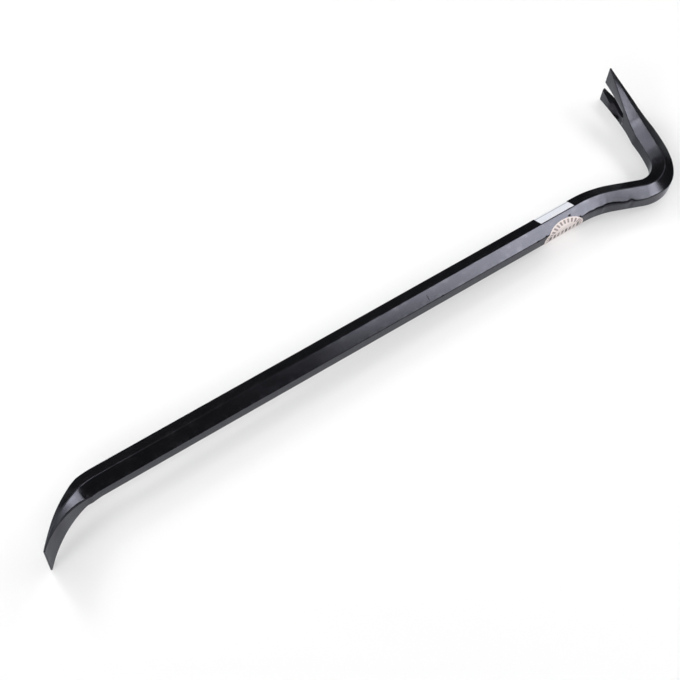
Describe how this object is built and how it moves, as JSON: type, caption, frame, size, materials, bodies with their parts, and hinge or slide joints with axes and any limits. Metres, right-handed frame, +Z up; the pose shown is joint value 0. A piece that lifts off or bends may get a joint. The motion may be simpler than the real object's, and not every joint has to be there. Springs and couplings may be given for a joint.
{
  "type": "crowbar",
  "caption": "Black painted hexagonal steel wrecking bar with a bent flat chisel end, a swan neck and a hooked, slotted nail claw, with paper labels.",
  "frame": {"origin": "on the floor, below the middle of the bar's box, with the bar lying on the floor as it comes to rest", "axes": "+X along the shank from the chisel to the claw, +Y to the side that the hook opens to, +Z up"},
  "size_m": [0.6022, 0.1256, 0.0412],
  "materials": {
    "black_paint": "semi-gloss black paint over forged steel",
    "white_paper": "smooth white label paper",
    "cream_paper": "smooth cream label paper"
  },
  "bodies": {
    "root": {"forged_bar": "black_paint", "bar_label": "white_paper", "round_label": "cream_paper"}
  },
  "joints": []
}
